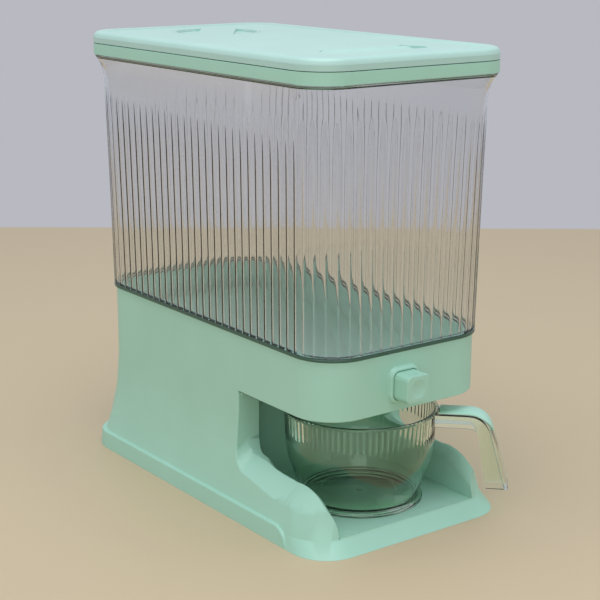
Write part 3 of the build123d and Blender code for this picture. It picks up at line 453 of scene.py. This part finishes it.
def handleLine(line):
    centreReach, centreHeight = line["centre"]
    (startReach, startHeight), (endReach, endHeight) = line["drop"]
    points = [(reach, line["height"]) for reach in channel["reaches"]]
    for k in range(1, channel["bendSteps"] + 1):
        turn = math.radians(channel["bend"] * k / channel["bendSteps"])
        points.append((centreReach + line["radius"] * math.sin(turn),
                       centreHeight + line["radius"] * math.cos(turn)))
    steps = channel["dropSteps"]
    for k in range(1, steps + 1):
        points.append((startReach + (endReach - startReach) * k / steps,
                       startHeight + (endHeight - startHeight) * k / steps))
    return points


def handlePoint(reach, side, height):
    turn = math.radians(channel["turn"])
    along = Vector((math.cos(turn), math.sin(turn), 0))
    across = Vector((-math.sin(turn), math.cos(turn), 0))
    return Vector((axisX, axisY, cup["foot"] + height)) + along * reach + across * side


def handleRow(corners):
    return [handlePoint(point[0], side, point[1]) for point, side in corners + corners[:1]]


def between(far, near, depth):
    step = Vector(near) - Vector(far)
    return Vector(far) + step.normalized() * depth


stations = list(zip(handleLine(channel["outer"]), handleLine(channel["inner"])))
half, thick = channel["half"], channel["wall"]
handleRows = []
for i, (far, near) in enumerate(stations):
    back = between(far, near, stripForm["depth"] if i in stripForm["stations"] else 0)
    front = between(far, near, stripForm["depth"] + thick)
    handleRows.append(handleRow([
        (near, -half), (back, -half), (back, half), (near, half),
        (near, half - thick), (front, half - thick), (front, thick - half), (near, thick - half)]))
handle = layGrid("handleChannel", handleRows)
mergeAndFaceOut(handle)
closeEnds(handle)
roundCorners(handle, channel["round"])
combine(bowl, handle, "UNION")
finishPiece(bowl, cupClearPaintedMintCast, "cup", "clear", "measuring_cup", angle=cup["smooth"])

stripRows = []
taperFrom = stripForm["taperFrom"]
for i in stripForm["stations"]:
    far, near = stations[i]
    lead = max(0, i - taperFrom) / (stripForm["stations"][-1] - taperFrom)
    side = half * (1 - stripForm["taper"] * lead ** 2)
    under = between(far, near, stripForm["depth"] - stripForm["gap"])
    stripRows.append(handleRow([(under, -side), (far, -side), (far, side), (under, side)]))
strip = layGrid("handleStrip", stripRows)
mergeAndFaceOut(strip)
closeEnds(strip)
roundCorners(strip, stripForm["round"])
# The strip takes the lighter mint, painted light for the top light falling on it
finishPiece(strip, paintedLitStripMint, "cup", "mint", "handle_cover")
print("cup made")

# Base: the inner edge of each cheek is rounded along a path of (y, z) points, which falls
# gently from the back to the nose and then bends down to the tip
cheek = {
    "bayHalf": 67.0, "start": (-71.0, 47.9), "nose": (-118.0, 45.5), "tip": (-164.5, 11.3),
    "bendReach": 0.72, "bendDrop": 0.3, "shares": (0, 0.1, 0.2, 0.35, 0.6, 0.8), "noseSteps": 12,
    "round": 11.5, "startRound": 0.8, "growth": 3.4, "tipGrowth": 0.45, "tipRound": 0.6,
    "arcSteps": 7, "cutSide": 1, "cutTop": 2,
    "fillWall": 3.0, "fillBelow": 1, "fillSlope": 1.25, "hollowEnd": -152.0,
    "skin": 0.3, "shellWidth": 4.6, "shellStep": 0.1,
}


def arcThrough(first, middle, last, steps):
    (ax, ay), (bx, by), (cx, cy) = first, middle, last
    d = 2 * (ax * (by - cy) + bx * (cy - ay) + cx * (ay - by))
    a2, b2, c2 = ax * ax + ay * ay, bx * bx + by * by, cx * cx + cy * cy
    centre = Vector(((a2 * (by - cy) + b2 * (cy - ay) + c2 * (ay - by)) / d,
                     (a2 * (cx - bx) + b2 * (ax - cx) + c2 * (bx - ax)) / d))
    start, end = Vector(first) - centre, Vector(last) - centre
    turn = start.angle_signed(end)
    return [centre + Matrix.Rotation(-turn * k / steps, 2) @ start for k in range(steps + 1)]


def cheekPath():
    start, nose = Vector(cheek["start"]), Vector(cheek["nose"])
    tipY, tipZ = cheek["tip"]
    bend = (nose.x - cheek["bendReach"] * (nose.x - tipY), nose.y - cheek["bendDrop"] * (nose.y - tipZ))
    path = [start.lerp(nose, share) for share in cheek["shares"]]
    return path + arcThrough(cheek["nose"], bend, cheek["tip"], cheek["noseSteps"])


# The section that fills the hollow behind a cheek's edge, so that the round opens no hole
def fillSection(place, into, up, radius):
    far, skin, shell = radius + cheek["fillWall"], cheek["skin"], cheek["shellWidth"]
    wide = max(shell + cheek["shellStep"], far)
    low = far + cheek["fillBelow"]
    return [place + into * a - up * b for a, b in (
        (skin, skin), (shell, skin), (wide, skin + cheek["fillSlope"] * max(0, far - shell)),
        (wide, low), (skin, low))]


# The section that is cut away above the round
def roundSection(place, into, up, radius):
    side, top = into * cheek["cutSide"], up * cheek["cutTop"]
    section = [place - side + top, place + into * radius + top]
    for k in range(cheek["arcSteps"] + 1):
        turn = math.radians(90 * k / cheek["arcSteps"])
        section.append(place + into * radius * (1 - math.sin(turn)) - up * radius * (1 - math.cos(turn)))
    section.append(place - side - up * radius)
    return section


def cheekBar(side, makeSection):
    path = cheekPath()
    into = Vector((1, 0, 0))
    rows = []
    for i, (y, z) in enumerate(path):
        if makeSection is fillSection and y < cheek["hollowEnd"]:
            continue
        before, after = path[max(0, i - 1)], path[min(len(path) - 1, i + 1)]
        along = (after - before).normalized()
        up = Vector((0, -along.y, along.x)) * (-1 if along.x < 0 else 1)
        radius = min(cheek["round"], cheek["startRound"] + cheek["growth"] * i,
                     cheek["tipGrowth"] * (z - cheek["tip"][1]) + cheek["tipRound"])
        section = makeSection(Vector((cheek["bayHalf"], y, z)), into, up, radius)
        rows.append([Vector((side * point.x, point.y, point.z)) for point in section + section[:1]])
    bar = layGrid("cheekBar", rows)
    mergeAndFaceOut(bar)
    closeEnds(bar)
    return bar


# Which sharp edges are rounded on the base, lid, lid band and button. The bay's corner (half width,
# front, top) and the nose (half width, back, low, high) keep theirs.
baseEdges = {"side": 80.2, "front": -120, "back": 159, "bay": 66.2, "bayTop": 101,
             "ground": 1.5, "shortest": 0.4,
             "bayCorner": (79, -85, 99), "nose": (92, -118, 13, 60)}
lidEdges = {"top": 363.0, "scoopBack": -90}
bandEdges = {"side": 93.2, "front": -163.9, "back": 163.9, "lip": 345.3}
buttonEdges = {"centre": (-6.5, 120.5), "face": -177.5, "dish": 9.6}


def outsideOfBase(middle, along):
    wide = abs(middle.x)
    shell = (wide > baseEdges["side"] or not baseEdges["front"] <= middle.y <= baseEdges["back"]
             or (wide > baseEdges["bay"] and middle.z < baseEdges["bayTop"]))
    cornerHalf, cornerFront, cornerTop = baseEdges["bayCorner"]
    atBayCorner = wide < cornerHalf and middle.y > cornerFront and middle.z < cornerTop
    noseHalf, noseBack, noseLow, noseHigh = baseEdges["nose"]
    atNose = middle.y < noseBack and noseLow < middle.z < noseHigh and wide < noseHalf
    long = along.length > baseEdges["shortest"] and middle.z > baseEdges["ground"]
    return shell and not atBayCorner and not atNose and long


def topOfLid(middle, along):
    return middle.z > lidEdges["top"] and middle.y < lidEdges["scoopBack"]


def outsideOfBand(middle, along):
    return abs(middle.x) > bandEdges["side"] or not bandEdges["front"] <= middle.y <= bandEdges["back"]


def faceOfButton(middle, along):
    centreX, centreZ = buttonEdges["centre"]
    reach = Vector((middle.x - centreX, middle.z - centreZ)).length
    return middle.y < buttonEdges["face"] and reach > buttonEdges["dish"]


# Base, lid and inner parts: the CAD's own forms with their edges softened by (width, segments, test)
softened = {
    "base_housing": (1.0, 3, outsideOfBase),
    "lid_cover": (0.35, 2, topOfLid),
    "lid_frame": (0.5, 2, outsideOfBand),
    "push_button": (1.3, 4, faceOfButton),
}
slotMaterials = {"mint": mint, "clear": clear, "silicone": silicone, "rubber": rubber, "steel": steel,
                 "acetal": acetal}
# The lid, dial and hopper take the paler mints, which are painted light
ownMaterials = {"lid_cover": paintedLitLidMint, "date_dial": paintedLitLidMint, "hopper": paintedLitHopperMint}
smoothAngles = {"base_housing": 22}
slotOf = {part["node"]: part["material_slot"] for part in frame["record"]["subparts"]}
bodyOf = {name: body for body, members in frame["record"]["behaviour"]["bodies"].items() for name in members}
done = {"container", "measuring_cup", "handle_cover"}
for nodeName in sorted(set(nodes) - done):
    piece = cleanCopy(nodeName, nodeName + "Skin")
    if nodeName == "base_housing":
        for side in (-1, 1):
            combine(piece, cheekBar(side, fillSection), "UNION")
            combine(piece, cheekBar(side, roundSection), "DIFFERENCE")
    if nodeName == "lid_frame":
        for vertex in piece.data.vertices:
            vertex.co.z = max(vertex.co.z, bandEdges["lip"] * mm)
    if nodeName in softened:
        width, segments, accepts = softened[nodeName]
        softenEdges(piece, width, segments, accepts)
    material = ownMaterials.get(nodeName, slotMaterials[slotOf[nodeName]])
    finishPiece(piece, material, bodyOf[nodeName], slotOf[nodeName], nodeName,
                angle=smoothAngles.get(nodeName, sharpEdge))
    applyModifier(piece, "WEIGHTED_NORMAL", keep_sharp=True)
    if nodeName == "return_springs":
        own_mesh(piece)
print("inner parts dressed")

# Stage: a pale table turned square to the camera, its far edge behind the bin, in a pale grey room
stage = {"floorZ": -0.1, "farEdge": 1011.6, "nearEdge": -3500, "halfWidth": 4000, "turn": -36.69,
         "floorColour": "#ceb999", "floorRoughness": 0.55, "roomColour": "#b8b9c1",
         "lightColour": "#e9f0f8", "lightStrength": 0.69}
deselectAll()
bpy.ops.mesh.primitive_plane_add(size=2)
floor = bpy.context.object
floor.name = "floor"
turn = math.radians(stage["turn"])
away = Vector((-math.sin(turn), math.cos(turn), 0))
beside = Vector((math.cos(turn), math.sin(turn), 0))
down = Vector((0, 0, stage["floorZ"]))
for vertex in floor.data.vertices:
    reach = stage["farEdge"] if vertex.co.y > 0 else stage["nearEdge"]
    vertex.co = (away * reach + beside * vertex.co.x * stage["halfWidth"] + down) * mm
# Paint, rolled on: pale and half matt, so that the shadow shows and the lamps don't
floorMaterial, floorTree = newMaterial("paintedTable")
floorShader = addNode(floorTree, "ShaderNodeBsdfPrincipled", inputs={
    "Base Color": toLinear(stage["floorColour"]), "Roughness": stage["floorRoughness"]})
addNode(floorTree, "ShaderNodeOutputMaterial", inputs={"Surface": floorShader.outputs["BSDF"]})
floor.data.materials.append(floorMaterial)

# The room lights the bin evenly, and its grey is what the camera and the clear walls see
world = bpy.data.worlds.new("room")
bpy.context.scene.world = world
world.use_nodes = True
sky = world.node_tree
sky.nodes.clear()
seen = addNode(sky, "ShaderNodeLightPath")
either = addNode(sky, "ShaderNodeMath", {"operation": "MAXIMUM"})
sky.links.new(seen.outputs["Is Camera Ray"], either.inputs[0])
sky.links.new(seen.outputs["Is Transmission Ray"], either.inputs[1])
light = addNode(sky, "ShaderNodeBackground", inputs={
    "Color": toLinear(stage["lightColour"]), "Strength": stage["lightStrength"]})
room = addNode(sky, "ShaderNodeBackground", inputs={
    "Color": toLinear(stage["roomColour"]), "Strength": 1.0})
choice = addNode(sky, "ShaderNodeMixShader", inputs={"Fac": either.outputs["Value"]})
sky.links.new(light.outputs["Background"], choice.inputs[1])
sky.links.new(room.outputs["Background"], choice.inputs[2])
addNode(sky, "ShaderNodeOutputWorld", inputs={"Surface": choice.outputs["Shader"]})

# Lamps: place, aim and size in metres, power in watts
lamps = {
    "topSoftbox": {"place": (-0.3, -0.3, 1.8), "aim": (0, 0, 0.2), "size": (1.5, 1.5),
                   "power": 19.5, "colour": "#f6faff"},
    "fillSoftbox": {"place": (-0.8, -1.1, 0.4), "aim": (0, -0.1, 0.06), "size": (0.7, 0.5),
                    "power": 1.1, "colour": "#f4fff8"},
}
for name, values in lamps.items():
    lampData = bpy.data.lights.new(name, "AREA")
    lampData.shape = "RECTANGLE"
    lampData.size, lampData.size_y = values["size"]
    lampData.energy = values["power"]
    lampData.color = toLinear(values["colour"])[:3]
    lamp = bpy.data.objects.new(name, lampData)
    bpy.context.scene.collection.objects.link(lamp)
    lamp.location = values["place"]
    facing = Vector(values["place"]) - Vector(values["aim"])
    lamp.rotation_euler = facing.to_track_quat("Z", "Y").to_euler()

# Camera: fitted to the photograph's view
view = {"place": (-689.9, -946.7, 455.9), "aim": (8.73, -9.13, 150.98), "roll": 0.18,
        "lens": 87.72, "sensor": 36.0}
cameraData = bpy.data.cameras.new("camera")
cameraData.lens = view["lens"]
cameraData.sensor_width = view["sensor"]
camera = bpy.data.objects.new("camera", cameraData)
bpy.context.scene.collection.objects.link(camera)
camera.location = Vector(view["place"]) * mm
camera.rotation_mode = "QUATERNION"
facing = (Vector(view["place"]) - Vector(view["aim"])).to_track_quat("Z", "Y")
camera.rotation_quaternion = facing @ Quaternion((0, 0, 1), math.radians(view["roll"]))
bpy.context.scene.camera = camera
bpy.context.scene.view_settings.view_transform = "Standard"
print("stage, light and camera set")
